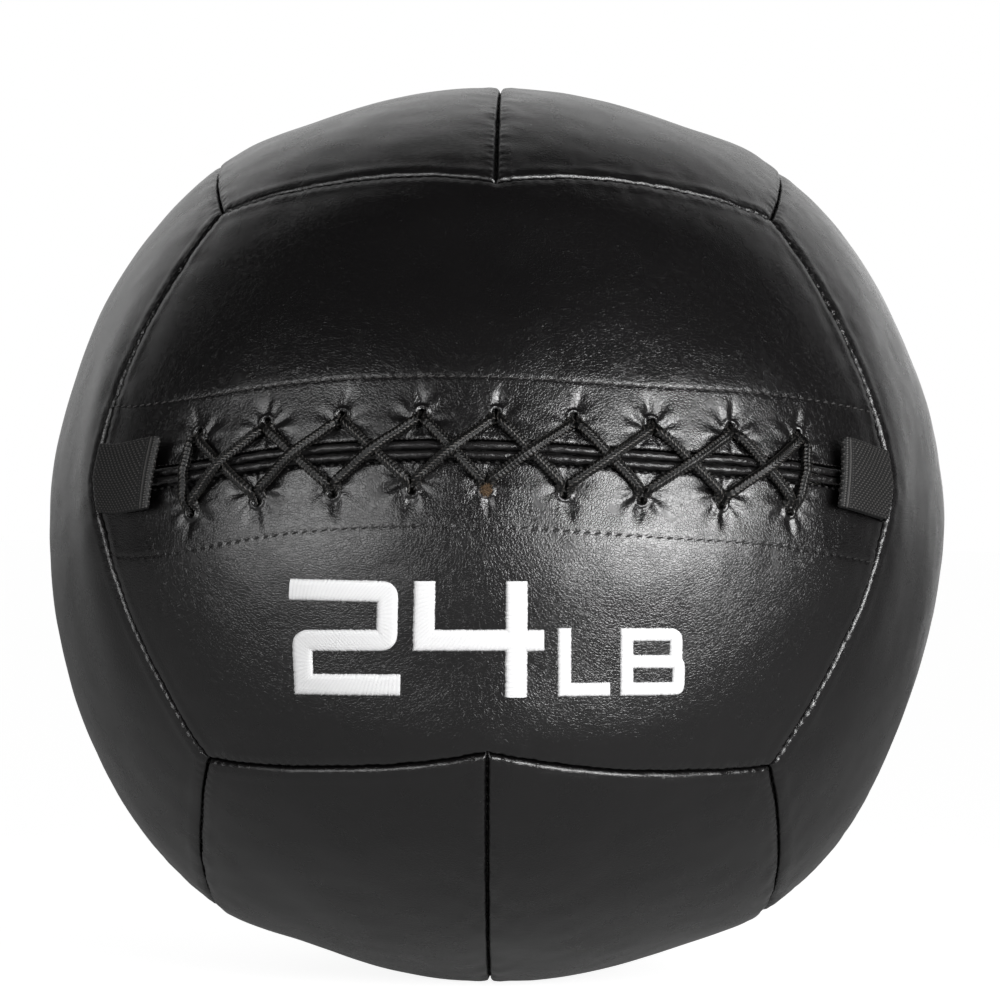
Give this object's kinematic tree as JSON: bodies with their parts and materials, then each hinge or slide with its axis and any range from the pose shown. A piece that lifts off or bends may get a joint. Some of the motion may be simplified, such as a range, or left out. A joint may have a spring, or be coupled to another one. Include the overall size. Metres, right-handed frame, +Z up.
{
  "type": "wall ball",
  "caption": "Soft weighted exercise ball: sewn synthetic leather panels round a padded core, with a laced slit at the front and a webbing tab at each end of it.",
  "frame": {"origin": "on the floor, under the middle of the ball", "axes": "+Z up, -Y towards the laced front, +X to the right of someone who looks at the front"},
  "size_m": [0.355, 0.3608, 0.354],
  "materials": {
    "cover_leather": "black synthetic leather with a fine grain, satin",
    "welt_leather": "black synthetic leather, glossy where it is rolled",
    "lace_cord": "black braided cord",
    "webbing": "black twill webbing",
    "lining_cloth": "plain lining cloth",
    "fibre": "loose pale fibre",
    "bag_cloth": "coarse canvas",
    "tie_cord": "twisted cord",
    "iron_sand": "dull iron grains",
    "seam_thread": "black bonded thread",
    "white_thread": "white embroidery thread"
  },
  "bodies": {
    "ball": {"left_front_panel": "cover_leather", "left_rear_panel": "cover_leather", "right_front_panel": "cover_leather", "right_rear_panel": "cover_leather", "front_lower_panel": "cover_leather", "front_upper_panel": "cover_leather", "rear_lower_panel": "cover_leather", "rear_upper_panel": "cover_leather", "bottom_left_panel": "cover_leather", "bottom_right_panel": "cover_leather", "top_left_panel": "cover_leather", "top_right_panel": "cover_leather", "upper_welt": "welt_leather", "lower_welt": "welt_leather", "upper_hem_facing": "lining_cloth", "lower_hem_facing": "lining_cloth", "placket": "lining_cloth", "lace": "lace_cord", "lace_start_knot": "lace_cord", "lace_end_knot": "lace_cord", "liner_bag": "lining_cloth", "fibre_filling": "fibre", "weight_bag": "bag_cloth", "weight_bag_tie": "tie_cord", "ballast": "iron_sand"},
    "left_tab": {"left_tab": "webbing"},
    "right_tab": {"right_tab": "webbing"}
  },
  "joints": [
    {"name": "left_tab_fold", "type": "hinge", "parent": "ball", "child": "left_tab", "pos_m": [-0.15104, -0.10839, 0.19536], "axis": [0, -0.1736, -0.9848], "range_deg": [0, 150], "stiffness_Nm_per_rad": 0.002},
    {"name": "right_tab_fold", "type": "hinge", "parent": "ball", "child": "right_tab", "pos_m": [0.15104, -0.10839, 0.19536], "axis": [0, 0.1736, 0.9848], "range_deg": [0, 150], "stiffness_Nm_per_rad": 0.002}
  ]
}
